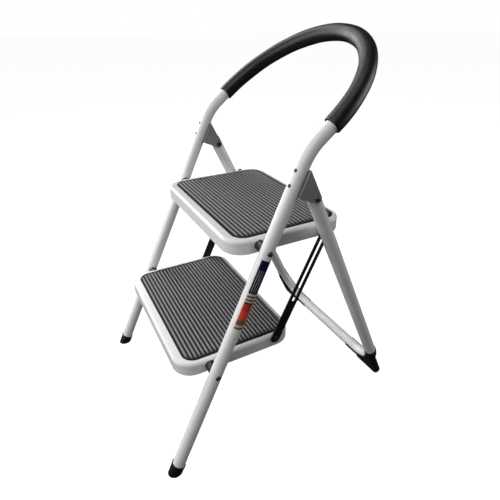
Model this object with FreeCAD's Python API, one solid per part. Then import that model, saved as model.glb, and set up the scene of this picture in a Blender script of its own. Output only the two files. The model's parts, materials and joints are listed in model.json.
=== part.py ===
import FreeCAD, Part
import math
import os

# A folding two-step stool of bent steel tube.
# The front frame is one tube: two leaning legs joined above by a bowed handle.
# A U-shaped rear frame hangs from two brackets and folds forward.
# Two pressed treads pivot on the front legs and are linked by slotted straps.
# Millimetres. +Z is up, +X is the user's right when facing the steps, +Y is the rear.
# The origin is on the floor, in the middle of the open stool's footprint.

V = FreeCAD.Vector
SIDES = {"left": -1, "right": 1}

# Front frame tube
LEAN = 25.5
FRONT_TUBE_R = 12.5
TUBE_WALL = 1.2
FOOT_HALF = 219.5
BEND_HALF = 203.0
BEND_HEIGHT = 612.0
BEND_R = 110.0
HANDLE_LEAN = 51.4
HANDLE_REACH = 258.7
FRONT_TUBE_START = 9.0

# Foam grip and foot caps
GRIP_R = 16.5
GRIP_START = 52.0
FOOT_CAP_R = 13.8
FOOT_CAP_TOP = 21.5
FOOT_CAP_RIM = 0.6
FOOT_CAP_RIM_HEIGHT = 4.0

# Rear frame
HINGE_S = 609.5
HINGE_H = 46.8
REAR_TUBE_R = 13.0
REAR_BAR_DISTANCE = 547.0
REAR_BAR_HEIGHT = 17.2
REAR_BEND_R = 82.0
REAR_LEG_ABOVE_HINGE = 15.0
SHOE_R = 14.5
SHOE_UP_LEG = 78.0
SHOE_ALONG_BAR = 104.0
SHOE_RIVET_UP = 68.0
SHOE_RIVET_R = 2.0
SHOE_RIVET_HEAD_R = 3.6
SHOE_RIVET_HEAD = 2.0
SHOE_RIVET_LENGTH = 8.0
SHOE_LIP = 6.0
HEEL_WIDTH = 62.0
HEEL_HEIGHT = 60.0
HEEL_DEPTH = -22.0
HEEL_CORNER_R = 24.0
HEEL_FRONT = -14.0
HEEL_THICKNESS = 17.0
HEEL_EDGE_R = 6.0
HEEL_INSET = 0.5

# Hinge brackets
BRACKET_BOTTOM = 600.0
BRACKET_TOP = 649.0
BRACKET_FRONT = 8.0
BRACKET_EDGE = 0.5
BRACKET_BEND_R = 1.2
BRACKET_SHEET = 2.0
CHEEK_INNER = 13.3
BRACKET_NOSE_R = 8.0
BRACKET_RIVETS = (613.5, 640.0)
BRACKET_RIVET_R = 2.5
BRACKET_RIVET_HEAD_R = 3.8
BRACKET_RIVET_HEAD = 2.8
BRACKET_RIVET_SUNK = 1.0
BRACKET_RIVET_TAIL = 1.4
BRACKET_RIVET_TURN = 10.0
HINGE_PIN_R = 4.0
HINGE_PIN_HEAD_R = 5.2
HINGE_PIN_HEAD = 3.0
HINGE_PIN_TAIL = 1.0
HINGE_PIN_DIMPLE = 2.0

# Treads
SHEET = 1.5
RIM_HEIGHT = 27.0
TREAD_CORNER_R = 40.0
TREAD_EDGE_R = 6.0
HEM = 5.0
MAT_THICKNESS = 2.5
MAT_CORNER_R = 26.0
FRONT_BORDER = 18.0
REAR_BORDER = 10.0
TREADS = {
    "lower": {"top": 228.2, "mat_front": 57.8, "mat_depth": 226.0, "half": 185.0, "mat_half": 174.8},
    "upper": {"top": 459.8, "mat_front": 174.6, "mat_depth": 221.5, "half": 180.0, "mat_half": 168.0},
}
PIVOT_BELOW_TOP = 12.4
PIVOT_BOLT_R = 4.0
BOLT_HEAD_R = 6.0
BOLT_HEAD = 4.6
BOLT_HEAD_SUNK = 1.6
BOLT_INSIDE = 9.0
NUT_R = 7.5
NUT_LENGTH = 6.5
SPACER_R = 10.0
BRACE_HALF = 150.0
BRACE_WIDTH = 40.0
BRACE_HEIGHT = 14.0

# Slotted straps that link the treads and guide the rear frame
STRAP_INNER = 185.4
STRAP_THICKNESS = 2.0
STRAP_WIDTH = 21.5
STRAP_TIP_R = 6.5
STRAP_TAPER = 16.0
STRAP_BACK = 146.0
STRAP_RISE = 6.0
STRAP_RIVET_R = 3.0
STRAP_RIVET_HEAD_R = 5.0
STRAP_RIVET_HEAD = 1.6
STRAP_RIVET_TAIL = 1.5
STRAP_BUSH_R = 6.5
STRAP_BUSH_GAP = 0.2
SLOT_WIDTH = 6.6
SLOT_FROM_TOP = 18.0
SLOT_LENGTH = 150.0
STUD_R = 1.8
STUD_ROOT = 3.0
STUD_COLLAR_R = 4.5
STUD_COLLAR_SEAT = 2.0
STUD_HEAD_R = 5.0
STUD_HEAD_GAP = 0.5
STUD_HEAD = 1.8
STUD_BELOW_HINGE = 107.8

# Clearances
FIT = 0.05
RUNNING = 0.08
AIR = 0.3

# Reach of a cut that must pass right through a tube or a rim
THROUGH = 40.0

# Label on the right leg, between the treads
LABEL_BOTTOM = 345.0
LABEL_TOP = 478.0
LABEL_THICKNESS = 0.25
LABEL_FROM = -52.0
LABEL_TURN = 112.0

SIN_LEAN = math.sin(math.radians(LEAN))
COS_LEAN = math.cos(math.radians(LEAN))
TAPER = (FOOT_HALF - BEND_HALF) / BEND_HEIGHT

# The footprint is centred on Y: front cap at one end, rear shoe at the other.
FRONT_Y = (FOOT_CAP_R / COS_LEAN - REAR_BAR_DISTANCE - SHOE_R) / 2.0

X_AXIS = V(1, 0, 0)
LEG_UP = V(0, SIN_LEAN, COS_LEAN)
LEG_REAR = V(0, COS_LEAN, -SIN_LEAN)


def side_point(s, h):
    """A point in the leg's side plane: s along the lean, h behind the axis."""
    return V(0, FRONT_Y, 0) + LEG_UP * s + LEG_REAR * h


def leg_x(s):
    """Half the spacing of the front leg axes, s along the lean."""
    return FOOT_HALF - TAPER * s * COS_LEAN


def leg_point(side, s, h=0.0):
    """A point on, or h behind, the front leg's axis."""
    return side_point(s, h) + X_AXIS * (side * leg_x(s))


def rivet_axis(side):
    """Front to rear through the leg; the front end is turned a little to the outside."""
    turn = math.radians(BRACKET_RIVET_TURN)
    return LEG_REAR * math.cos(turn) - X_AXIS * (side * math.sin(turn))


HINGE = side_point(HINGE_S, HINGE_H)
REAR_HALF = leg_x((BRACKET_BOTTOM + BRACKET_TOP) / 2.0)
BAR = V(0, FRONT_Y + REAR_BAR_DISTANCE, REAR_BAR_HEIGHT)
REAR_DOWN = (BAR - HINGE).normalize()
REAR_LEAN = math.degrees(math.atan2(REAR_DOWN.y, -REAR_DOWN.z))


def rounded_path(corners, radii):
    """Runs between corners, joined by tangent arcs of the given radii."""
    pieces = []
    cursor = corners[0]
    for before, corner, after, radius in zip(corners, corners[1:], corners[2:], radii):
        d_in = (corner - before).normalize()
        d_out = (after - corner).normalize()
        turn = d_in.getAngle(d_out)
        start = corner - d_in * (radius * math.tan(turn / 2.0))
        axis = d_in.cross(d_out).normalize()
        if (start - cursor).Length > 0.01:
            pieces.append(("run", cursor, start))
        pieces.append(("arc", start, d_in, start + axis.cross(d_in) * radius, axis, turn))
        cursor = corner + d_out * (radius * math.tan(turn / 2.0))
    pieces.append(("run", cursor, corners[-1]))
    return pieces


def rod_along(pieces, radius):
    """A solid round bar along a path of runs and arcs."""
    solids = []
    for piece in pieces:
        if piece[0] == "run":
            start, end = piece[1], piece[2]
            solids.append(Part.makeCylinder(radius, (end - start).Length, start, end - start))
        else:
            start, direction, centre, axis, turn = piece[1:]
            disc = Part.Face(Part.Wire(Part.makeCircle(radius, start, direction)))
            solids.append(disc.revolve(centre, axis, math.degrees(turn)))
    return solids[0].multiFuse(solids[1:]) if len(solids) > 1 else solids[0]


def tube_along(pieces, outer_r, inner_r):
    return rod_along(pieces, outer_r).cut(rod_along(pieces, inner_r))


def pin(radius, x_from, x_to, at):
    """A round pin along X through the point at, between two X values."""
    low = min(x_from, x_to)
    return Part.makeCylinder(radius, abs(x_to - x_from), V(low, at.y, at.z), X_AXIS)


def dome(radius, height, base, direction):
    """A low rivet head: an arc turned about the rivet's axis."""
    ball_r = (radius ** 2 + height ** 2) / (2.0 * height)
    centre = base + direction * (height - ball_r)
    across = direction.cross(V(0.0, 0.6, 0.8)).normalize()
    half_way = math.asin(radius / ball_r) / 2.0
    crown = base + direction * height
    middle = centre + (direction * math.cos(half_way) + across * math.sin(half_way)) * ball_r
    rim = base + across * radius
    edges = [Part.makeLine(base, rim), Part.Arc(rim, middle, crown).toShape(), Part.makeLine(crown, base)]
    return Part.Face(Part.Wire(edges)).revolve(base, direction, 360.0)


def box_between(low, high):
    return Part.makeBox(high.x - low.x, high.y - low.y, high.z - low.z, low)


def rounded_slab(half, y_front, y_rear, z_low, z_high, corner_r):
    """A slab with round vertical corners."""
    slab = box_between(V(-half, y_front, z_low), V(half, y_rear, z_high))
    upright = [e for e in slab.Edges if abs(e.tangentAt(e.FirstParameter).z) > 0.9]
    return slab.makeFillet(corner_r, upright)


def round_top(slab, z_high, radius):
    """The same slab with its top edge rolled over."""
    top = [e for e in slab.Edges if e.BoundBox.ZMin > z_high - 0.01]
    return slab.makeFillet(radius, top)


def front_path():
    left_foot = leg_point(-1, FRONT_TUBE_START)
    right_foot = leg_point(1, FRONT_TUBE_START)
    left_bend = leg_point(-1, BEND_HEIGHT / COS_LEAN)
    right_bend = leg_point(1, BEND_HEIGHT / COS_LEAN)
    rise = handle_slope() * HANDLE_REACH
    corners = [left_foot, left_bend, left_bend + rise, right_bend + rise, right_bend, right_foot]
    return rounded_path(corners, [BEND_R, BEND_HALF, BEND_HALF, BEND_R])


def handle_slope():
    lean = math.radians(HANDLE_LEAN)
    return V(0, math.sin(lean), math.cos(lean))


def grip_path():
    slope = handle_slope()
    ends = [leg_point(side, BEND_HEIGHT / COS_LEAN) for side in (-1, 1)]
    low = [end + slope * GRIP_START for end in ends]
    high = [end + slope * HANDLE_REACH for end in ends]
    return rounded_path([low[0], high[0], high[1], low[1]], [BEND_HALF, BEND_HALF])


def leg_cylinder(side, radius, s_from, s_to):
    """A cylinder on the true, slightly tapered axis of a front leg."""
    start = leg_point(side, s_from)
    run = leg_point(side, s_to) - start
    return Part.makeCylinder(radius, run.Length, start, run)


def tread_pivot(tread):
    """Where a tread turns on the front leg: height and the leg distance there."""
    height = TREADS[tread]["top"] - PIVOT_BELOW_TOP
    return side_point(height / COS_LEAN, 0.0), height / COS_LEAN


def strap_pivot(tread):
    return tread_pivot(tread)[0] + V(0, STRAP_BACK, STRAP_RISE)


def guide_stud_point():
    return HINGE + REAR_DOWN * STUD_BELOW_HINGE


def front_frame_tube():
    pieces = front_path()
    tube = tube_along(pieces, FRONT_TUBE_R, FRONT_TUBE_R - TUBE_WALL)
    for side in SIDES.values():
        for tread in TREADS:
            at, s = tread_pivot(tread)
            x = side * leg_x(s)
            tube = tube.cut(pin(PIVOT_BOLT_R + FIT, x - 2 * FRONT_TUBE_R, x + 2 * FRONT_TUBE_R, at))
        for s in BRACKET_RIVETS:
            start = leg_point(side, s) - rivet_axis(side) * THROUGH
            tube = tube.cut(Part.makeCylinder(BRACKET_RIVET_R + FIT, 2 * THROUGH, start, rivet_axis(side)))
    return tube


def foot_cap(side):
    """A push-on plastic cap, cut level with the floor."""
    body = leg_cylinder(side, FOOT_CAP_R, -FOOT_CAP_TOP, FOOT_CAP_TOP)
    rim = leg_cylinder(side, FOOT_CAP_R + FOOT_CAP_RIM, FOOT_CAP_TOP - FOOT_CAP_RIM_HEIGHT, FOOT_CAP_TOP)
    socket = leg_cylinder(side, FRONT_TUBE_R + FIT, FRONT_TUBE_START - FIT, 2 * FOOT_CAP_TOP)
    foot = leg_point(side, 0.0)
    below = box_between(foot - V(THROUGH, THROUGH, THROUGH), V(foot.x + THROUGH, foot.y + THROUGH, 0))
    return body.fuse(rim).cut(socket).cut(below)


def tangent_point(point, centre, radius, turn):
    """Where a line from a point touches a circle, in (h, s) coordinates."""
    dh, ds = centre[0] - point[0], centre[1] - point[1]
    distance = math.hypot(dh, ds)
    angle = math.atan2(ds, dh) + turn * math.asin(radius / distance)
    reach = math.sqrt(distance ** 2 - radius ** 2)
    return point[0] + reach * math.cos(angle), point[1] + reach * math.sin(angle)


def lean_shape(shape, x):
    """Move a shape from leg coordinates (x, h, s) to its place on the leg."""
    shape.Placement = FreeCAD.Placement(V(x, FRONT_Y, 0), FreeCAD.Rotation(X_AXIS, -LEAN))
    return shape


def bracket_cheek(x_low):
    """One side plate of the bracket: a triangle with a round nose."""
    nose = (HINGE_H, HINGE_S)
    top = (BRACKET_FRONT + BRACKET_EDGE, BRACKET_TOP)
    base = (BRACKET_FRONT + BRACKET_EDGE, BRACKET_BOTTOM)
    upper = tangent_point(top, nose, BRACKET_NOSE_R, 1)
    lower = tangent_point(base, nose, BRACKET_NOSE_R, -1)
    tip = (HINGE_H + BRACKET_NOSE_R, HINGE_S)
    outline = [base, (BRACKET_FRONT, BRACKET_BOTTOM), (BRACKET_FRONT, BRACKET_TOP), top, upper]
    points = [V(x_low, h, s) for h, s in outline]
    edges = [Part.makeLine(a, b) for a, b in zip(points, points[1:])]
    nose_points = [V(x_low, h, s) for h, s in (upper, tip, lower)]
    edges.append(Part.Arc(*nose_points).toShape())
    edges.append(Part.makeLine(nose_points[2], points[0]))
    return Part.Face(Part.Wire(edges)).extrude(V(BRACKET_SHEET, 0, 0))


def hinge_bracket(side):
    """A pressed steel clevis: a saddle that hugs the tube's back, two shoulders and two cheeks."""
    outer = CHEEK_INNER + BRACKET_SHEET
    foot = V(0, 0, BRACKET_BOTTOM)
    saddle = Part.makeCylinder(FRONT_TUBE_R + BRACKET_SHEET, BRACKET_TOP - BRACKET_BOTTOM, foot)
    ahead = box_between(V(-THROUGH, -THROUGH, 0), V(THROUGH, BRACKET_FRONT, 2 * BRACKET_TOP))
    back = BRACKET_FRONT + BRACKET_SHEET
    shoulders = box_between(V(-outer, BRACKET_FRONT, BRACKET_BOTTOM), V(outer, back, BRACKET_TOP))
    shape = saddle.cut(ahead).fuse([shoulders, bracket_cheek(-outer), bracket_cheek(CHEEK_INNER)])
    shape = shape.removeSplitter()
    bends = [e for e in shape.Edges if abs(e.BoundBox.XMin) > outer - 0.01 and e.BoundBox.XLength < 0.01
             and abs(e.BoundBox.YMax - BRACKET_FRONT) < 0.01]
    shape = lean_shape(shape.makeFillet(BRACKET_BEND_R, bends), side * REAR_HALF)
    shape = shape.cut(leg_cylinder(side, FRONT_TUBE_R + FIT, BRACKET_BOTTOM - THROUGH, BRACKET_TOP + THROUGH))
    for s in BRACKET_RIVETS:
        hole = Part.makeCylinder(BRACKET_RIVET_R + FIT, THROUGH, leg_point(side, s), rivet_axis(side))
        shape = shape.cut(hole)
    centre = side * REAR_HALF
    return shape.cut(pin(HINGE_PIN_R + FIT, centre - THROUGH, centre + THROUGH, HINGE))


def bracket_rivets(side):
    """Two rivets that hold a bracket: a domed head in front, a flat tail behind."""
    rivets = []
    reach = FRONT_TUBE_R + BRACKET_SHEET + FIT
    axis = rivet_axis(side)
    for s in BRACKET_RIVETS:
        middle = leg_point(side, s)
        shank = Part.makeCylinder(BRACKET_RIVET_R, FRONT_TUBE_R + reach, middle - axis * FRONT_TUBE_R, axis)
        base = middle - axis * (FRONT_TUBE_R - BRACKET_RIVET_SUNK)
        head = dome(BRACKET_RIVET_HEAD_R, BRACKET_RIVET_HEAD, base, axis * -1)
        head = head.cut(leg_cylinder(side, FRONT_TUBE_R, BRACKET_BOTTOM, BRACKET_TOP))
        tail = Part.makeCylinder(BRACKET_RIVET_HEAD_R, BRACKET_RIVET_TAIL, middle + axis * reach, axis)
        rivets.append(shank.fuse([head, tail]).removeSplitter())
    return Part.makeCompound(rivets)


def hinge_pin(side):
    """The rivet on which a rear leg turns; its inner end is rolled over into a low ring."""
    centre = side * REAR_HALF
    cheek = CHEEK_INNER + BRACKET_SHEET
    outer = centre + side * cheek
    inner = centre - side * cheek
    shank = pin(HINGE_PIN_R, inner, outer, HINGE)
    head = dome(HINGE_PIN_HEAD_R, HINGE_PIN_HEAD, V(outer, HINGE.y, HINGE.z), X_AXIS * side)
    ring = pin(HINGE_PIN_HEAD_R, inner, inner - side * HINGE_PIN_TAIL, HINGE)
    dimple = pin(HINGE_PIN_R / 2.0, inner + side * HINGE_PIN_DIMPLE, inner - side * THROUGH, HINGE)
    return shank.fuse([head, ring]).removeSplitter().cut(dimple)


def pivot_bolt(side, tread):
    """A bolt through the leg and spacer on which a tread turns."""
    at, s = tread_pivot(tread)
    leg = leg_x(s)
    outer = side * (leg + FRONT_TUBE_R)
    inner = side * (TREADS[tread]["half"] - SHEET - BOLT_INSIDE)
    shank = pin(PIVOT_BOLT_R, inner, outer, at)
    head = dome(BOLT_HEAD_R, BOLT_HEAD, V(outer - side * BOLT_HEAD_SUNK, at.y, at.z), X_AXIS * side)
    head = head.cut(leg_cylinder(side, FRONT_TUBE_R, s - THROUGH, s + THROUGH))
    return shank.fuse(head).removeSplitter()


def pivot_nut(side, tread):
    """A six-sided lock nut inside the tread's rim."""
    at = tread_pivot(tread)[0]
    x = side * (TREADS[tread]["half"] - SHEET - AIR)
    turns = [k * math.pi / 3 for k in range(7)]
    corners = [V(x, at.y + NUT_R * math.cos(turn), at.z + NUT_R * math.sin(turn)) for turn in turns]
    nut = Part.Face(Part.makePolygon(corners)).extrude(V(-side * NUT_LENGTH, 0, 0))
    return nut.cut(pin(PIVOT_BOLT_R + FIT, x - THROUGH, x + THROUGH, at))


def spacer(side, tread):
    """A plastic collar between the tread's rim and the round leg, hollowed to fit the leg."""
    at, s = tread_pivot(tread)
    inner = side * (TREADS[tread]["half"] + AIR)
    outer = side * (leg_x(s) - FRONT_TUBE_R / 2.0)
    collar = pin(SPACER_R, inner, outer, at)
    collar = collar.cut(leg_cylinder(side, FRONT_TUBE_R + FIT, s - THROUGH, s + THROUGH))
    return collar.cut(pin(PIVOT_BOLT_R + FIT, inner - side * THROUGH, outer + side * THROUGH, at))


def side_label():
    """A thin printed label wrapped round the right leg."""
    outer_r = FRONT_TUBE_R + FIT + LABEL_THICKNESS
    start = leg_point(1, LABEL_BOTTOM)
    run = leg_point(1, LABEL_TOP) - start
    wedge = Part.makeCylinder(outer_r, run.Length, V(0, 0, 0), V(0, 0, 1), LABEL_TURN)
    wedge = wedge.cut(Part.makeCylinder(FRONT_TUBE_R + FIT, run.Length))
    wedge.rotate(V(0, 0, 0), V(0, 0, 1), LABEL_FROM)
    wedge.Placement = FreeCAD.Placement(start, FreeCAD.Rotation(V(0, 0, 1), run)).multiply(wedge.Placement)
    return wedge


def rear_frame_tube():
    up = REAR_DOWN * -1
    tops = [HINGE + up * REAR_LEG_ABOVE_HINGE + X_AXIS * (side * REAR_HALF) for side in (-1, 1)]
    lows = [BAR + X_AXIS * (side * REAR_HALF) for side in (-1, 1)]
    path = rounded_path([tops[0], lows[0], lows[1], tops[1]], [REAR_BEND_R, REAR_BEND_R])
    tube = tube_along(path, REAR_TUBE_R, REAR_TUBE_R - TUBE_WALL)
    for side in SIDES.values():
        x = side * REAR_HALF
        tube = tube.cut(pin(HINGE_PIN_R + RUNNING, x - THROUGH, x + THROUGH, HINGE))
        tube = tube.cut(pin(STUD_R + FIT, x, x - side * THROUGH, guide_stud_point()))
        tube = tube.cut(pin(SHOE_RIVET_R + FIT, x, x + side * THROUGH, shoe_rivet_point(side)))
    return tube


def rear_place(shape):
    """Move a shape from rear-frame coordinates (x, normal, up the leg) to its place."""
    shape.Placement = FreeCAD.Placement(BAR, FreeCAD.Rotation(X_AXIS, REAR_LEAN))
    return shape


def shoe_rivet_point(side):
    """On the outside of the rear bend: the rivet follows the bend's outer curve."""
    fall = REAR_BEND_R - SHOE_RIVET_UP
    inward = REAR_BEND_R - math.sqrt(REAR_BEND_R ** 2 - fall ** 2)
    return BAR - REAR_DOWN * SHOE_RIVET_UP + X_AXIS * (side * (REAR_HALF - inward))


def shoe_heel():
    """The tongue below the bend: flat in front and behind, round at its tip."""
    face_x = REAR_HALF + SHOE_R - HEEL_INSET
    inner_x = REAR_HALF - HEEL_WIDTH
    outline = [(face_x, HEEL_HEIGHT), (face_x, HEEL_DEPTH), (inner_x, HEEL_DEPTH), (inner_x, -SHOE_R / 2.0),
               (REAR_HALF - HEEL_WIDTH / 2.0, SHOE_R), (face_x, HEEL_HEIGHT)]
    heel = Part.Face(Part.makePolygon([V(x, HEEL_FRONT, z) for x, z in outline]))
    heel = heel.extrude(V(0, HEEL_THICKNESS, 0))
    low_corner = [e for e in heel.Edges
                  if abs(e.BoundBox.XMin - face_x) < 0.01 and abs(e.BoundBox.ZMax - HEEL_DEPTH) < 0.01]
    heel = heel.makeFillet(HEEL_CORNER_R, low_corner)
    rims = [e for e in heel.Edges if e.BoundBox.YLength < 0.01
            and (e.BoundBox.XMin > face_x - HEEL_CORNER_R - 0.01 and e.BoundBox.XMax > face_x - 0.01
                 or e.BoundBox.ZMax < HEEL_DEPTH + 0.01)]
    return heel.makeFillet(HEEL_EDGE_R, rims)


def rear_shoe(side):
    """A moulded boot round the outside of a rear bend, with a heel to the floor."""
    half = REAR_HALF
    far = 2.0 * REAR_BEND_R
    corners = [V(half, 0, far), V(half, 0, 0), V(half - far, 0, 0)]
    bend = rounded_path(corners, [REAR_BEND_R])
    outside = rod_along(bend, SHOE_R)
    above = box_between(V(half - far, -THROUGH, SHOE_UP_LEG), V(half + THROUGH, THROUGH, 2.0 * far))
    past = half - SHOE_ALONG_BAR
    beyond = box_between(V(half - 2.0 * far, -THROUGH, -THROUGH), V(past, THROUGH, 2.0 * far))
    bore = rod_along(bend, REAR_TUBE_R + FIT)
    inside = box_between(V(half - 2.0 * far, -THROUGH, SHOE_LIP), V(half - SHOE_LIP, THROUGH, 2.0 * far))
    corner = [e for e in inside.Edges
              if abs(e.BoundBox.XMin - (half - SHOE_LIP)) < 0.01 and abs(e.BoundBox.ZMax - SHOE_LIP) < 0.01]
    inside = inside.makeFillet(REAR_BEND_R - SHOE_LIP, corner)
    shoe = outside.cut(above).cut(beyond).fuse(shoe_heel()).cut(bore).cut(inside)
    shoe = rear_place(shoe)
    below = box_between(V(0, BAR.y - 2 * THROUGH, -2 * THROUGH), V(2 * half, BAR.y + 2 * THROUGH, 0))
    shoe = shoe.cut(below)
    at = shoe_rivet_point(1)
    shoe = shoe.cut(pin(SHOE_RIVET_R + FIT, at.x, at.x + THROUGH, at))
    shoe = max(shoe.Solids, key=lambda solid: solid.Volume)
    return shoe if side > 0 else shoe.mirror(V(0, 0, 0), X_AXIS)


def shoe_rivet(side):
    """A small rivet through the boot's outer wall and the tube's; its head is seated on the curve."""
    at = shoe_rivet_point(side)
    outer = at.x + side * SHOE_R
    shank = pin(SHOE_RIVET_R, outer - side * SHOE_RIVET_LENGTH, outer, at)
    head = dome(SHOE_RIVET_HEAD_R, SHOE_RIVET_HEAD, V(outer, at.y, at.z), X_AXIS * side)
    return shank.fuse(head.cut(rear_shoe(side))).removeSplitter()


def guide_stud(side):
    """A headed stud on the rear leg that slides in the strap's slot."""
    at = guide_stud_point()
    leg_face = REAR_HALF - REAR_TUBE_R
    head_outer = STRAP_INNER - STUD_HEAD_GAP
    head_inner = head_outer - STUD_HEAD
    shank = pin(STUD_R, side * (leg_face + STUD_ROOT), side * head_inner, at)
    collar_inner = STRAP_INNER + STRAP_THICKNESS + AIR
    collar = pin(STUD_COLLAR_R, side * collar_inner, side * (leg_face + STUD_COLLAR_SEAT), at)
    collar = collar.cut(rear_leg_cylinder(side, REAR_TUBE_R + FIT))
    head = pin(STUD_HEAD_R, side * head_outer, side * head_inner, at)
    return shank.fuse([collar, head]).removeSplitter()


def rear_leg_cylinder(side, radius):
    start = HINGE + X_AXIS * (side * REAR_HALF)
    return Part.makeCylinder(radius, 2.0 * STUD_BELOW_HINGE, start, REAR_DOWN)


def tread_ends(tread):
    """Where a tread's front and rear rims are along Y."""
    size = TREADS[tread]
    front = FRONT_Y + size["mat_front"]
    return front - FRONT_BORDER, front + size["mat_depth"] + REAR_BORDER


def tread_hollow(tread):
    """The space inside a pressed tread, one sheet's thickness within its outside."""
    half, top = TREADS[tread]["half"], TREADS[tread]["top"]
    front, rear = tread_ends(tread)
    hollow = rounded_slab(half - SHEET, front + SHEET, rear - SHEET, top - RIM_HEIGHT + SHEET, top - SHEET,
                          TREAD_CORNER_R - SHEET)
    return round_top(hollow, top - SHEET, TREAD_EDGE_R - SHEET)


def tread_pan(tread):
    """A pressed steel tread: rolled edge, deep rim and a hem turned inward below."""
    half, top = TREADS[tread]["half"], TREADS[tread]["top"]
    front, rear = tread_ends(tread)
    bottom = top - RIM_HEIGHT
    pan = round_top(rounded_slab(half, front, rear, bottom, top, TREAD_CORNER_R), top, TREAD_EDGE_R)
    mouth = rounded_slab(half - HEM, front + HEM, rear - HEM, bottom - SHEET, bottom + 2 * SHEET,
                         TREAD_CORNER_R - HEM)
    pan = pan.cut(tread_hollow(tread)).cut(mouth)
    for side in SIDES.values():
        within, beyond = side * (half - THROUGH), side * (half + THROUGH)
        pan = pan.cut(pin(PIVOT_BOLT_R + RUNNING, within, beyond, tread_pivot(tread)[0]))
        pan = pan.cut(pin(STRAP_RIVET_R + FIT, within, beyond, strap_pivot(tread)))
    return pan


def tread_mat(tread):
    """A rubber mat; the ribs are within its thickness."""
    size = TREADS[tread]
    front = FRONT_Y + size["mat_front"]
    slab = rounded_slab(size["mat_half"], front, front + size["mat_depth"], size["top"],
                        size["top"] + MAT_THICKNESS, MAT_CORNER_R)
    return slab


def tread_brace(tread):
    """A channel under the tread that stiffens it from side to side."""
    size = TREADS[tread]
    middle = FRONT_Y + size["mat_front"] + size["mat_depth"] / 2.0
    high = size["top"] - SHEET
    low = high - BRACE_HEIGHT
    near, far = middle - BRACE_WIDTH / 2.0, middle + BRACE_WIDTH / 2.0
    channel = box_between(V(-BRACE_HALF, near, low), V(BRACE_HALF, far, high))
    hollow = box_between(V(-BRACE_HALF, near + SHEET, low - SHEET), V(BRACE_HALF, far - SHEET, high - SHEET))
    return channel.cut(hollow)


def strap_rivet(side, tread):
    """The rivet that a strap turns on, fixed in the tread's rim."""
    at = strap_pivot(tread)
    inside = side * (TREADS[tread]["half"] - SHEET)
    strap_face = side * (STRAP_INNER + STRAP_THICKNESS + AIR)
    shank = pin(STRAP_RIVET_R, inside, strap_face, at)
    head = dome(STRAP_RIVET_HEAD_R, STRAP_RIVET_HEAD, V(strap_face, at.y, at.z), X_AXIS * side)
    tail = pin(STRAP_RIVET_HEAD_R, inside, inside - side * STRAP_RIVET_TAIL, at).common(tread_hollow(tread))
    return shank.fuse([head, tail]).removeSplitter()


def strap_bush(side):
    """A collar that keeps the strap upright beside the narrower upper tread."""
    at = strap_pivot("upper")
    inner = side * TREADS["upper"]["half"]
    outer = side * (STRAP_INNER - STRAP_BUSH_GAP)
    bore = pin(STRAP_RIVET_R + FIT, inner - side * THROUGH, outer + side * THROUGH, at)
    return pin(STRAP_BUSH_R, inner, outer, at).cut(bore)


def capsule(start, end, radius, x_low, x_high):
    """A slot with round ends, upright in X."""
    along = (end - start).normalize()
    across = X_AXIS.cross(along) * radius
    a, b, c, d = start + across, end + across, end - across, start - across
    edges = [Part.makeLine(a, b), Part.Arc(b, end + along * radius, c).toShape(),
             Part.makeLine(c, d), Part.Arc(d, start - along * radius, a).toShape()]
    flat = Part.Face(Part.Wire(edges))
    flat.translate(V(x_low, 0, 0))
    return flat.extrude(V(x_high - x_low, 0, 0))


def strap_blank(low, high, down, x_low):
    """The strap before its holes: full width with a round lower end, narrowing to a round tip above."""
    across = X_AXIS.cross(down)
    half = across * (STRAP_WIDTH / 2.0)
    tip = across * STRAP_TIP_R
    wide = high + down * STRAP_TAPER
    corners = [low + half, wide + half, high + tip, high - tip, wide - half, low - half]
    edges = [Part.makeLine(corners[0], corners[1]), Part.makeLine(corners[1], corners[2]),
             Part.Arc(corners[2], high - down * STRAP_TIP_R, corners[3]).toShape(),
             Part.makeLine(corners[3], corners[4]), Part.makeLine(corners[4], corners[5]),
             Part.Arc(corners[5], low + down * (STRAP_WIDTH / 2.0), corners[0]).toShape()]
    flat = Part.Face(Part.Wire(edges))
    flat.translate(V(x_low, 0, 0))
    return flat.extrude(V(STRAP_THICKNESS, 0, 0))


def strap(side):
    """A flat steel link with a long slot, parallel to the front legs."""
    low, high = strap_pivot("lower"), strap_pivot("upper")
    down = (low - high).normalize()
    x_low = STRAP_INNER if side > 0 else -STRAP_INNER - STRAP_THICKNESS
    x_high = x_low + STRAP_THICKNESS
    bar = strap_blank(low, high, down, x_low)
    slot_r = SLOT_WIDTH / 2.0
    slot_top = high + down * (SLOT_FROM_TOP + slot_r)
    slot_end = high + down * (SLOT_FROM_TOP + SLOT_LENGTH - slot_r)
    bar = bar.cut(capsule(slot_top, slot_end, slot_r, x_low - THROUGH, x_high + THROUGH))
    for at in (low, high):
        bar = bar.cut(pin(STRAP_RIVET_R + RUNNING, x_low - THROUGH, x_high + THROUGH, at))
    return bar


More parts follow.
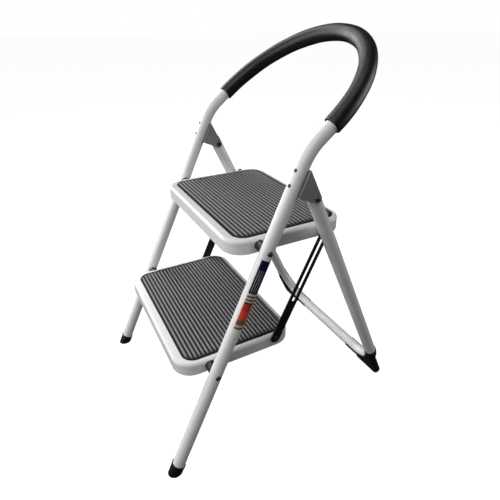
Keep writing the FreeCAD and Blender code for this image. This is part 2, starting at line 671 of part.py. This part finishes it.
def all_nodes():
    nodes = {
        "front_frame_tube": front_frame_tube(),
        "handle_grip": tube_along(grip_path(), GRIP_R, FRONT_TUBE_R + FIT),
        "side_label": side_label(),
        "rear_frame_tube": rear_frame_tube(),
    }
    for tread in TREADS:
        nodes[tread + "_step_pan"] = tread_pan(tread)
        nodes[tread + "_step_mat"] = tread_mat(tread)
        nodes[tread + "_step_brace"] = tread_brace(tread)
    for name, side in SIDES.items():
        nodes["foot_cap_" + name] = foot_cap(side)
        nodes["hinge_bracket_" + name] = hinge_bracket(side)
        nodes["bracket_rivets_" + name] = bracket_rivets(side)
        nodes["hinge_pin_" + name] = hinge_pin(side)
        nodes["rear_shoe_" + name] = rear_shoe(side)
        nodes["shoe_rivet_" + name] = shoe_rivet(side)
        nodes["guide_stud_" + name] = guide_stud(side)
        nodes["strap_bush_" + name] = strap_bush(side)
        nodes["strap_" + name] = strap(side)
        for tread in TREADS:
            nodes[tread + "_pivot_bolt_" + name] = pivot_bolt(side, tread)
            nodes[tread + "_pivot_nut_" + name] = pivot_nut(side, tread)
            nodes[tread + "_spacer_" + name] = spacer(side, tread)
            nodes[tread + "_strap_rivet_" + name] = strap_rivet(side, tread)
    return nodes


def main():
    os.makedirs("parts", exist_ok=True)
    for name, shape in all_nodes().items():
        shape.exportStep("parts/" + name + ".step")
        box = shape.BoundBox
        print("%-24s solids %d valid %s volume %9.0f  x %.1f..%.1f  y %.1f..%.1f  z %.1f..%.1f" % (
            name, len(shape.Solids), shape.isValid(), shape.Volume,
            box.XMin, box.XMax, box.YMin, box.YMax, box.ZMin, box.ZMax))


main()
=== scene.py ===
# %% [markdown]
# # A folding two-step stool
# The stool is bent steel tube with a hard white coat, two pressed steel treads with ribbed
# rubber mats, black slotted straps, and a foam grip round the bowed handle.
# Its working parts come ready made, in metres, in one shared frame: +Z is up, +X is the
# climber's right and +Y is the rear. This lesson gives them their finishes and makes the
# soft and printed pieces, whose surfaces are worked out with numpy.

# %% Load the working parts
import json
import math

import bpy
import numpy as np
from mathutils import Matrix, Vector


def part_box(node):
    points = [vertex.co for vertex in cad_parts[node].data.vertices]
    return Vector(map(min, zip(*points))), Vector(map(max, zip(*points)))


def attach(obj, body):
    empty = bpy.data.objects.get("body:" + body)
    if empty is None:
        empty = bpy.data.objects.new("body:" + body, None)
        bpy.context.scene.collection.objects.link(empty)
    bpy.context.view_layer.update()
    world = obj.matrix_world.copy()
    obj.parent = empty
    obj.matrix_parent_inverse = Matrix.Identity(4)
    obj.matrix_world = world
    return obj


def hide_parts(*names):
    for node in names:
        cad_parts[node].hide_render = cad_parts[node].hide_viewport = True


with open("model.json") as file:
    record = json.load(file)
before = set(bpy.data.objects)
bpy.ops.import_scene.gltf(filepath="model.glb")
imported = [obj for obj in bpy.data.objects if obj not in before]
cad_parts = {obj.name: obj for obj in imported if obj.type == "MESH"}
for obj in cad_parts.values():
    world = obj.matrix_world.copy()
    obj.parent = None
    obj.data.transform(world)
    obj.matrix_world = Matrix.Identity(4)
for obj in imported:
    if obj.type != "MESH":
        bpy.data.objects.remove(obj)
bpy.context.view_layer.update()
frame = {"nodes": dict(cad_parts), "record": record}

nodes = frame["nodes"]

# %% [markdown]
# ## The camera
# A camera needs a place, a direction and a lens. Here the direction is given the way a tripod
# head is set: a turn about the upright axis, a tilt below level, and a small roll about the
# line of sight. Each is one rotation matrix, and they are multiplied in that order.

# %% Camera
CAMERA_PLACE = (0.7280, -0.3674, 0.7894)
CAMERA_TURN = 62.2
CAMERA_TILT = -29.3
CAMERA_ROLL = -0.4
LENS_MM = 29.06
STOOL_MIDDLE = Vector((0, 0, 0.4))


def add_camera():
    data = bpy.data.cameras.new("camera")
    data.lens = LENS_MM
    camera = bpy.data.objects.new("camera", data)
    bpy.context.collection.objects.link(camera)
    turn = Matrix.Rotation(math.radians(CAMERA_TURN), 4, "Z")
    tilt = Matrix.Rotation(math.radians(90 + CAMERA_TILT), 4, "X")
    roll = Matrix.Rotation(math.radians(CAMERA_ROLL), 4, "Z")
    camera.matrix_world = Matrix.Translation(CAMERA_PLACE) @ turn @ tilt @ roll
    bpy.context.scene.camera = camera
    return camera


camera = add_camera()
distance = (Vector(CAMERA_PLACE) - STOOL_MIDDLE).length
print("camera distance to the stool's middle:", round(distance, 3), "m")

# %% [markdown]
# ## The light
# Studio light is soft, because each lamp is a large panel: the wider a panel looks from the
# object, the softer the edge of the shadow it makes. Six panels stand round the stool, four
# low and two high, and a seventh hangs above it, all turned to its middle. The low ones put a
# bright line along every tube, and the gaps between them leave darker sides, so that round tube
# reads as round.

# %% Lamps
LAMP_DISTANCE = 3.0
LAMP_SIDE = 1.8
# name: (degrees round from the front towards the climber's right, degrees above level, watts)
LAMPS = {
    "front_panel": (0, 12, 35.0),
    "right_high_panel": (40, 45, 24.0),
    "rear_panel": (160, 12, 30.0),
    "left_panel": (280, 12, 52.0),
    "left_high_panel": (280, 45, 26.0),
    "front_left_panel": (320, 12, 27.0),
    "top_panel": (0, 88, 14.0),
}


def add_lamp(name, around, above, watts):
    """A square panel; (sin a cos e, -cos a cos e, sin e) points from the stool to it."""
    a, e = math.radians(around), math.radians(above)
    outward = Vector((math.sin(a) * math.cos(e), -math.cos(a) * math.cos(e), math.sin(e)))
    data = bpy.data.lights.new(name, "AREA")
    data.size = LAMP_SIDE
    data.energy = watts
    lamp = bpy.data.objects.new(name, data)
    bpy.context.collection.objects.link(lamp)
    turn = (-outward).to_track_quat("-Z", "Y").to_matrix().to_4x4()
    lamp.matrix_world = Matrix.Translation(STOOL_MIDDLE + outward * LAMP_DISTANCE) @ turn


for lamp_name, (around, above, watts) in LAMPS.items():
    add_lamp(lamp_name, around, above, watts)
print("lamps:", ", ".join(LAMPS))

# %% [markdown]
# ## The room
# The room is white where the camera looks straight at it, and nearly dark as a source of
# light, so the panels alone shape the tubes. The Light Path node tells the two cases apart.

# %% Room
ROOM_LIGHT = 0.03


def add_room():
    world = bpy.data.worlds.new("studio")
    world.use_nodes = True
    tree = world.node_tree
    ray = tree.nodes.new("ShaderNodeLightPath")
    strength = tree.nodes.new("ShaderNodeMapRange")
    strength.inputs["To Min"].default_value = ROOM_LIGHT
    strength.inputs["To Max"].default_value = 1.0
    room = tree.nodes["Background"]
    room.inputs["Color"].default_value = (1, 1, 1, 1)
    tree.links.new(ray.outputs["Is Camera Ray"], strength.inputs["Value"])
    tree.links.new(strength.outputs["Result"], room.inputs["Strength"])
    bpy.context.scene.world = world


add_room()
bpy.context.scene.view_settings.view_transform = "Standard"
print("room light:", ROOM_LIGHT)

# %% [markdown]
# ## A helper for finishes
# Every finish here is one Principled shader with a little procedural relief. Noise is read at
# the object's own coordinates, so it stays on the piece when the stool folds. The bump node
# turns that noise into small slopes, whose height is given in metres.

# %% Finish helpers


def new_finish(name, color, roughness, metallic=0.0):
    """A material with one Principled shader; color, roughness and metallic are its own sockets."""
    finish = bpy.data.materials.new(name)
    finish.use_nodes = True
    shader = finish.node_tree.nodes["Principled BSDF"]
    shader.inputs["Base Color"].default_value = (*color, 1.0)
    shader.inputs["Roughness"].default_value = roughness
    shader.inputs["Metallic"].default_value = metallic
    return finish, finish.node_tree, shader


def noise_at(tree, scale, detail=2.0):
    """Noise over the object's coordinates, with about `scale` grains in a metre."""
    place = tree.nodes.new("ShaderNodeTexCoord")
    noise = tree.nodes.new("ShaderNodeTexNoise")
    noise.inputs["Scale"].default_value = scale
    noise.inputs["Detail"].default_value = detail
    tree.links.new(place.outputs["Object"], noise.inputs["Vector"])
    return noise.outputs["Fac"]


def span(tree, value, low, high, from_low=0.3, from_high=0.7):
    """Stretches value from the range from_low..from_high to low..high."""
    stretch = tree.nodes.new("ShaderNodeMapRange")
    ends = {"From Min": from_low, "From Max": from_high, "To Min": low, "To Max": high}
    for socket, number in ends.items():
        stretch.inputs[socket].default_value = number
    tree.links.new(value, stretch.inputs["Value"])
    return stretch.outputs["Result"]


def mixed(tree, amount, first, second):
    """A colour between first and second; either may be a colour or a socket."""
    mix = tree.nodes.new("ShaderNodeMix")
    mix.data_type = "RGBA"
    tree.links.new(amount, mix.inputs["Factor"])
    for socket, value in (("A", first), ("B", second)):
        target = [s for s in mix.inputs if s.name == socket and s.type == "RGBA"][0]
        if isinstance(value, tuple):
            target.default_value = (*value, 1.0)
        else:
            tree.links.new(value, target)
    return [s for s in mix.outputs if s.type == "RGBA"][0]


def add_relief(tree, shader, height, metres):
    """Bump: height from 0 to 1 stands for a relief of that many metres."""
    bump = tree.nodes.new("ShaderNodeBump")
    bump.inputs["Strength"].default_value = 1.0
    bump.inputs["Distance"].default_value = metres
    tree.links.new(height, bump.inputs["Height"])
    tree.links.new(bump.outputs["Normal"], shader.inputs["Normal"])


finishes = {}
print("finish helpers ready")

# %% [markdown]
# ## White powder coat
# Powder paint melts into a thick, glossy skin with a faint ripple called orange peel, a few
# millimetres from crest to crest. The ripple is bump, and a slower noise varies the gloss a
# little, as handling does.

# %% White paint


def white_paint():
    finish, tree, shader = new_finish("white_paint", (0.86, 0.86, 0.87), 0.35)
    cloud = noise_at(tree, 14.0, 3.0)
    tint = mixed(tree, span(tree, cloud, 0.0, 1.0), (0.80, 0.80, 0.805), (0.83, 0.83, 0.835))
    tree.links.new(tint, shader.inputs["Base Color"])
    tree.links.new(span(tree, cloud, 0.30, 0.40), shader.inputs["Roughness"])
    add_relief(tree, shader, noise_at(tree, 320.0, 1.0), 0.000018)
    shader.inputs["Coat Weight"].default_value = 0.25
    shader.inputs["Coat Roughness"].default_value = 0.15
    return finish


finishes["white_paint"] = white_paint()
print("made:", finishes["white_paint"].name)

# %% [markdown]
# ## Grey and black paint
# The hinge brackets are dark grey, and the straps are black. Both are thinner, duller coats
# than the white one, so their ripple is finer.

# %% Grey and black paint


def dark_paint(name, color, roughness):
    finish, tree, shader = new_finish(name, color, roughness)
    cloud = noise_at(tree, 30.0, 4.0)
    paler = tuple(1.35 * part for part in color)
    tree.links.new(mixed(tree, span(tree, cloud, 0.0, 1.0), color, paler), shader.inputs["Base Color"])
    tree.links.new(span(tree, cloud, roughness - 0.05, roughness + 0.08), shader.inputs["Roughness"])
    add_relief(tree, shader, noise_at(tree, 700.0, 2.0), 0.00003)
    return finish


finishes["grey_paint"] = dark_paint("grey_paint", (0.20, 0.203, 0.21), 0.45)
finishes["black_paint"] = dark_paint("black_paint", (0.0018, 0.0018, 0.0019), 0.5)
print("made:", finishes["grey_paint"].name, "and", finishes["black_paint"].name)

# %% [markdown]
# ## Moulded plastic
# Caps, shoes and spacers are moulded in black plastic. The mould's faces are spark eroded,
# which leaves a fine, even grain.

# %% Black plastic


def black_plastic():
    finish, tree, shader = new_finish("black_plastic", (0.003, 0.003, 0.003), 0.5)
    cloud = noise_at(tree, 25.0, 4.0)
    dusty = mixed(tree, span(tree, cloud, 0.0, 1.0), (0.0025, 0.0025, 0.0027), (0.005, 0.005, 0.0052))
    tree.links.new(dusty, shader.inputs["Base Color"])
    tree.links.new(span(tree, cloud, 0.32, 0.46), shader.inputs["Roughness"])
    add_relief(tree, shader, noise_at(tree, 1600.0, 2.0), 0.00005)
    return finish


finishes["black_plastic"] = black_plastic()
print("made:", finishes["black_plastic"].name)

# %% [markdown]
# ## Zinc plating
# Rivets and bolts are steel with a dulled zinc skin. Its crystals show as cloudy patches of
# slightly different gloss.

# %% Zinc


def zinc_steel():
    finish, tree, shader = new_finish("zinc_steel", (0.12, 0.12, 0.122), 0.45, metallic=1.0)
    patches = noise_at(tree, 350.0, 3.0)
    color = mixed(tree, span(tree, patches, 0.0, 1.0), (0.08, 0.08, 0.082), (0.15, 0.15, 0.153))
    tree.links.new(color, shader.inputs["Base Color"])
    tree.links.new(span(tree, patches, 0.38, 0.52), shader.inputs["Roughness"])
    add_relief(tree, shader, patches, 0.00004)
    return finish


finishes["zinc_steel"] = zinc_steel()
print("made:", finishes["zinc_steel"].name)

# %% [markdown]
# ## Put the finishes on
# Each working part already names the material slot that it takes, so the finishes go on by
# that name. The mats, the grip and the label are replaced later by pieces of their own.

# %% Assign finishes
for part in frame["record"]["subparts"]:
    if part["material_slot"] in finishes:
        for slot in nodes[part["node"]].material_slots:
            slot.material = finishes[part["material_slot"]]
print("finishes:", ", ".join(finishes))

# %% [markdown]
# ## From a grid to a mesh
# Every new piece is a grid of points: row i and column j of an array. The faces join each
# point to its neighbours in the next row and column. A grid that closes on itself, such as a
# tube's, joins its last column to its first.

# %% Grid helper


def grid_faces(rows, columns, around):
    """Quads between neighbouring points; point (i, j) has the number i * columns + j."""
    i = np.arange(rows - 1)[:, None]
    j = np.arange(columns if around else columns - 1)[None, :]
    after = (j + 1) % columns
    corners = (i * columns + j, i * columns + after, (i + 1) * columns + after, (i + 1) * columns + j)
    return np.stack([np.broadcast_to(c, (rows - 1, j.shape[1])) for c in corners], -1).reshape(-1, 4)


def add_grid(name, points, around=False, smooth=True):
    """A mesh object of a grid of points, shape (rows, columns, 3)."""
    rows, columns = points.shape[:2]
    mesh = bpy.data.meshes.new(name)
    mesh.from_pydata(points.reshape(-1, 3), [], grid_faces(rows, columns, around).tolist())
    mesh.polygons.foreach_set("use_smooth", np.full(len(mesh.polygons), smooth))
    mesh.validate()
    piece = bpy.data.objects.new(name, mesh)
    bpy.context.collection.objects.link(piece)
    return piece


print("grid helper ready")

# %% [markdown]
# ## The ribbed mats
# Each tread has a moulded rubber mat with round ribs from side to side and a plain border.
# A mat could be modelled rib by rib, but its top is one surface: the height depends only on
# the place, so it is a formula. Rows run from side to side; each row ends at the mat's edge,
# which curves in at the corners.

# %% Mat surfaces
MAT_CORNER = 0.026
RIB_PITCH = 0.0083
RIB_COUNT = {"upper_step_mat": 25, "lower_step_mat": 26}
FIRST_RIB = {"upper_step_mat": 0.0085, "lower_step_mat": 0.0075}
RIB_HEIGHT = 0.0018
RIB_SWELL = 1.1
RIB_LIFT = 0.35
RIB_END = 0.002
REAR_BAND = 0.42
BORDER_SIDE = 0.0075
EDGE_ROUND = 0.0010
ROWS_PER_RIB = 14
EDGE_ROWS = 17
EDGE_COLUMNS = 14
MIDDLE_COLUMNS = 9


def mat_half_width(y, front, rear, half):
    """Half the mat's width at y: within a corner radius r of an end, r is drawn in by a circle."""
    into_corner = np.maximum(0.0, MAT_CORNER - np.minimum(y - front, rear - y))
    return half - (MAT_CORNER - np.sqrt(np.maximum(0.0, MAT_CORNER**2 - into_corner**2)))


def rib_height(x, y, first, count, half_width):
    """Half-round ribs: the root of a raised, clipped cosine along Y, then a low band at the rear.

    Both fade out towards the sides as the root of the distance to the border.
    """
    along = (y - first) / RIB_PITCH
    wave = np.clip(np.cos(2 * np.pi * along) * RIB_SWELL + RIB_LIFT, 0.0, 1.0)
    within = (along > -0.5) & (along < count - 0.5)
    band = REAR_BAND * np.clip(4 * (along - count + 0.5), 0.0, 1.0)
    to_side = half_width - BORDER_SIDE - np.abs(x)
    fade = np.sqrt(np.clip(to_side / RIB_END, 0.0, 1.0))
    return RIB_HEIGHT * (np.sqrt(wave) * within + band) * fade


def add_mat(name, node):
    low, high = (np.array(corner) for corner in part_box(node))
    half = high[0]
    depth = high[1] - low[1]
    first = low[1] + FIRST_RIB[node]
    steps = int(depth / RIB_PITCH * ROWS_PER_RIB)
    y = low[1] + depth * (1 - np.cos(np.linspace(0, np.pi, EDGE_ROWS))) / 2
    y = np.unique(np.concatenate([y, np.linspace(low[1] + 1e-5, high[1] - 1e-5, steps)]))
    width = mat_half_width(y, low[1], high[1], half)
    near_edge = np.geomspace(1e-4, 0.08, EDGE_COLUMNS)
    across = np.concatenate([-1 + near_edge, np.linspace(-0.9, 0.9, MIDDLE_COLUMNS)])
    across = np.sort(np.concatenate([[-1.0, 1.0], across, 1 - near_edge]))
    x = width[:, None] * across[None, :]
    to_edge = np.minimum(width[:, None] - np.abs(x), np.minimum(y - low[1], high[1] - y)[:, None])
    rolled = np.clip(1 - to_edge / EDGE_ROUND, 0.0, 1.0)
    base = high[2] - RIB_HEIGHT
    z = base - EDGE_ROUND * (1 - np.sqrt(1 - rolled**2))
    z = z + rib_height(x, y[:, None], first, RIB_COUNT[node], width[:, None])
    top = np.stack([x, np.broadcast_to(y[:, None], x.shape), z], -1)
    under = top.copy()
    under[..., 2] = low[2]
    skin = np.concatenate([top, under[:, ::-1]], 1)
    piece = add_grid(name, skin, around=True)
    print(name, "has", len(piece.data.polygons), "faces and", RIB_COUNT[node], "ribs")
    return piece


upper_mat = add_mat("upper_ribbed_mat", "upper_step_mat")
lower_mat = add_mat("lower_ribbed_mat", "lower_step_mat")

# %% [markdown]
# ## Rubber
# Mat rubber is charcoal grey and matt. Its colour follows the height: the grooves, the plain border and
# the rolled edge, which lie low, are painted near black as painted shade, and the rib tops are the paler
# grey.

# %% Rubber finish


def rubber_with_painted_shade(name, base, top):
    finish, tree, shader = new_finish(name, (0.05, 0.05, 0.05), 0.7)
    place = tree.nodes.new("ShaderNodeTexCoord")
    parts = tree.nodes.new("ShaderNodeSeparateXYZ")
    tree.links.new(place.outputs["Object"], parts.inputs["Vector"])
    height = span(tree, parts.outputs["Z"], 0.0, 1.0, base, top)
    grain = span(tree, noise_at(tree, 260.0, 4.0), 0.0, 1.0)
    # painted shade: this near-black colour stands for the shade in the grooves and along the low border
    # and edge
    painted_groove_shade = mixed(tree, grain, (0.004, 0.004, 0.0042), (0.008, 0.008, 0.0082))
    crest = mixed(tree, grain, (0.22, 0.22, 0.222), (0.29, 0.29, 0.292))
    tree.links.new(mixed(tree, height, painted_groove_shade, crest), shader.inputs["Base Color"])
    tree.links.new(span(tree, grain, 0.6, 0.8, 0.0, 1.0), shader.inputs["Roughness"])
    shader.inputs["Specular IOR Level"].default_value = 0.2
    add_relief(tree, shader, noise_at(tree, 1500.0, 2.0), 0.00005)
    return finish


for piece, node, body in (
    (upper_mat, "upper_step_mat", "upper_step"),
    (lower_mat, "lower_step_mat", "lower_step"),
):
    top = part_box(node)[1][2]
    piece.data.materials.append(rubber_with_painted_shade(piece.name + "_rubber", top - RIB_HEIGHT, top))
    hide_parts(node)
    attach(piece, body)
    print("rubber on", piece.name)

# %% [markdown]
# ## The foam grip
# A foam tube is pushed over the bow of the handle. Its surface is a circle carried along the
# bow, which is half a circle with two straight ends, in a leaning plane. The foam is squeezed a
# little unevenly, and its cut ends are rounded, so the radius changes along the bow.

# %% Grip surface
GRIP_RADIUS = 0.0165
HOLE_RADIUS = 0.0127
GRIP_LEAN = math.radians(51.4)
GRIP_STEPS = 400
GRIP_SIDES = 64
GRIP_SHRINK = 0.0003
GRIP_END_ROUND = 0.0016
# (height in metres, radians in a metre, starting angle) of each wave in the radius
GRIP_WAVES = ((0.00018, 31.0, 0.0), (0.00012, 83.0, 1.0))


def bow_path(low, high, steps):
    """Points, outward directions and lengths along the bow: a straight, a half circle, a straight."""
    slope = np.array([0.0, math.sin(GRIP_LEAN), math.cos(GRIP_LEAN)])
    radius = high[0] - GRIP_RADIUS
    crown = np.array([0.0, high[1] - GRIP_RADIUS, high[2] - GRIP_RADIUS])
    start_y = low[1] + GRIP_RADIUS * math.cos(GRIP_LEAN)
    straight = (crown[1] - start_y) / slope[1] - radius
    centre = crown - radius * slope
    length = np.pi * radius + 2 * straight
    s = np.linspace(0, length, steps)
    turn = np.clip((s - straight) / radius, 0, np.pi)
    past = np.minimum(s - straight, 0) - np.maximum(s - straight - np.pi * radius, 0)
    side = np.array([1.0, 0.0, 0.0])
    points = centre - radius * np.cos(turn)[:, None] * side
    points = points + (radius * np.sin(turn) + past)[:, None] * slope
    out = -np.cos(turn)[:, None] * side + np.sin(turn)[:, None] * slope
    return points, out, s


def add_grip():
    low, high = (np.array(corner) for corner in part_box("handle_grip"))
    points, out, s = bow_path(low, high, GRIP_STEPS)
    up = np.array([0.0, -math.cos(GRIP_LEAN), math.sin(GRIP_LEAN)])
    to_end = np.minimum(s, s[-1] - s)
    rolled = np.clip(1 - to_end / GRIP_END_ROUND, 0, 1)
    around = np.linspace(0, 2 * np.pi, GRIP_SIDES, endpoint=False)
    wobble = sum(height * np.sin(s * rate + start) for height, rate, start in GRIP_WAVES)
    outer = GRIP_RADIUS - GRIP_SHRINK + wobble - GRIP_END_ROUND * (1 - np.sqrt(1 - rolled**2))
    ring = np.cos(around)[None, :, None] * out[:, None, :] + np.sin(around)[None, :, None] * up
    skin = points[:, None, :] + outer[:, None, None] * ring
    hole = points[:, None, :] + HOLE_RADIUS * ring
    closed = np.concatenate([skin, hole[::-1], skin[:1]], 0)
    piece = add_grid("foam_grip", closed, around=True)
    print("foam grip is", round(s[-1], 3), "m long")
    return piece


grip = add_grip()

# %% [markdown]
# ## Foam skin
# The foam is closed-cell rubber with a smooth skin: black, softly glossy, with tiny pores.

# %% Foam finish


def grip_foam():
    finish, tree, shader = new_finish("grip_foam", (0.012, 0.012, 0.0125), 0.45)
    cloud = noise_at(tree, 60.0, 4.0)
    tint = mixed(tree, span(tree, cloud, 0.0, 1.0), (0.003, 0.003, 0.0031), (0.0055, 0.0055, 0.0056))
    tree.links.new(tint, shader.inputs["Base Color"])
    tree.links.new(span(tree, cloud, 0.36, 0.48), shader.inputs["Roughness"])
    add_relief(tree, shader, noise_at(tree, 700.0, 2.0), 0.00003)
    return finish


grip.data.materials.append(grip_foam())
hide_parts("handle_grip")
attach(grip, "front_frame")
print("foam finish on", grip.name)

# %% [markdown]
# ## The label
# A printed film is wrapped part of the way round the right leg. Its surface is a piece of a
# cylinder on the leg's axis: one parameter goes round the leg and the other along it. The same
# two numbers make its UV map, so the print follows the film.

# %% Label film
LEG_LEAN = math.radians(25.5)
FOOT_SPREAD = 0.2195
BEND_SPREAD = 0.2030
BEND_HEIGHT = 0.612
LEG_TAPER = (FOOT_SPREAD - BEND_SPREAD) / BEND_HEIGHT
TUBE_RADIUS = 0.0125
FILM_LIFT = 0.00018
FILM_THICKNESS = 0.0001
LABEL_BOTTOM = 0.345
LABEL_TOP = 0.482
LABEL_FROM = math.radians(-52.0)
LABEL_TURN = math.radians(112.0)


def add_label(rows=60, columns=28):
    """Point (s, a) is axis(s) + r * (cos a * right + sin a * rear), for s along the leg and a round it."""
    foot = [m for m in frame["record"]["mounts"] if m["name"] == "front_foot_right"][0]["pos_m"]
    up = np.array([-LEG_TAPER * math.cos(LEG_LEAN), math.sin(LEG_LEAN), math.cos(LEG_LEAN)])
    up = up / np.linalg.norm(up)
    rear = np.array([0.0, math.cos(LEG_LEAN), -math.sin(LEG_LEAN)])
    right = np.cross(rear, up)
    v, u = np.meshgrid(np.linspace(0, 1, rows), np.linspace(0, 1, columns), indexing="ij")
    s = LABEL_BOTTOM + (LABEL_TOP - LABEL_BOTTOM) * v
    a = LABEL_FROM + LABEL_TURN * u
    film = TUBE_RADIUS + FILM_LIFT
    ring = np.cos(a)[..., None] * right + np.sin(a)[..., None] * rear
    piece = add_grid("printed_label", np.array(foot) + s[..., None] * up + film * ring)
    corner = np.empty(len(piece.data.loops), np.int32)
    piece.data.loops.foreach_get("vertex_index", corner)
    uv = np.stack([u.ravel(), v.ravel()], -1)[corner]
    piece.data.uv_layers.new(name="film").data.foreach_set("uv", uv.ravel())
    thick = piece.modifiers.new("film thickness", "SOLIDIFY")
    thick.thickness = FILM_THICKNESS
    thick.offset = -1.0
    print("label film:", rows, "by", columns, "points")
    return piece


label = add_label()

# %% [markdown]
# ## The print
# The print is plain bands: dark blue above with pale rules along it, thin rings below, then
# red and a dull pink foot. Bands across the film are a colour ramp read by v, with stepped
# colours, and the rules are a second ramp read by u.

# %% Label finish
NAVY = (0.006, 0.003, 0.048)
INK = (0.030, 0.014, 0.014)
CREAM = (0.62, 0.50, 0.42)
PINK = (0.22, 0.10, 0.075)
RED = (0.55, 0.045, 0.030)
BRIGHT_RED = (0.80, 0.085, 0.035)
RULES = (0.14, 0.30, 0.46)
RULE_WIDTH = 0.035
RULES_FROM = 0.55
RULES_TO = 0.86


def stepped(tree, value, steps):
    """A colour ramp that changes colour sharply at each place given."""
    ramp = tree.nodes.new("ShaderNodeValToRGB")
    ramp.color_ramp.interpolation = "CONSTANT"
    bands = ramp.color_ramp.elements
    while len(bands) < len(steps):
        bands.new(0.5)
    for band, (place, color) in zip(bands, steps):
        band.position = place
        band.color = (*color, 1.0)
    tree.links.new(value, ramp.inputs["Fac"])
    return ramp.outputs["Color"]


def label_film():
    finish, tree, shader = new_finish("label_film", NAVY, 0.3)
    place = tree.nodes.new("ShaderNodeUVMap")
    place.uv_map = "film"
    parts = tree.nodes.new("ShaderNodeSeparateXYZ")
    tree.links.new(place.outputs["UV"], parts.inputs["Vector"])
    white, black = (1.0, 1.0, 1.0), (0.0, 0.0, 0.0)
    rule_steps = [(0.0, black)]
    for rule in RULES:
        rule_steps += [(rule, white), (rule + RULE_WIDTH, black)]
    rules = stepped(tree, parts.outputs["X"], rule_steps)
    ruled = stepped(tree, parts.outputs["Y"], [(0.0, black), (RULES_FROM, white), (RULES_TO, black)])
    both = mixed(tree, rules, black, ruled)
    bands = [
        (0.0, PINK), (0.03, CREAM), (0.06, PINK), (0.14, BRIGHT_RED), (0.27, RED), (0.38, INK),
        (0.40, CREAM), (0.425, INK), (0.445, CREAM), (0.475, INK), (0.495, CREAM), (0.53, NAVY),
    ]
    printed = mixed(tree, both, stepped(tree, parts.outputs["Y"], bands), CREAM)
    tree.links.new(printed, shader.inputs["Base Color"])
    add_relief(tree, shader, noise_at(tree, 300.0, 1.0), 0.00002)
    print("printed bands:", len(bands))
    return finish


label.data.materials.append(label_film())
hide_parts("side_label")
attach(label, "front_frame")

# %% [markdown]
# ## The floor
# The floor is one very large plane, near white. It glows a little, so that a shadow on it stays
# faint, and it throws no light back at the stool, whose tubes keep their darker sides.

# %% Floor
FLOOR_SIDE = 80.0
FLOOR_GLOW = 0.97
bpy.ops.mesh.primitive_plane_add(size=FLOOR_SIDE)
floor = bpy.context.object
floor.name = "floor"
floor_finish, floor_tree, floor_shader = new_finish("floor", (0.25, 0.25, 0.25), 0.9)
floor_shader.inputs["Emission Color"].default_value = (1, 1, 1, 1)
floor_shader.inputs["Emission Strength"].default_value = FLOOR_GLOW
floor.data.materials.append(floor_finish)
floor.visible_diffuse = False
floor.visible_glossy = False
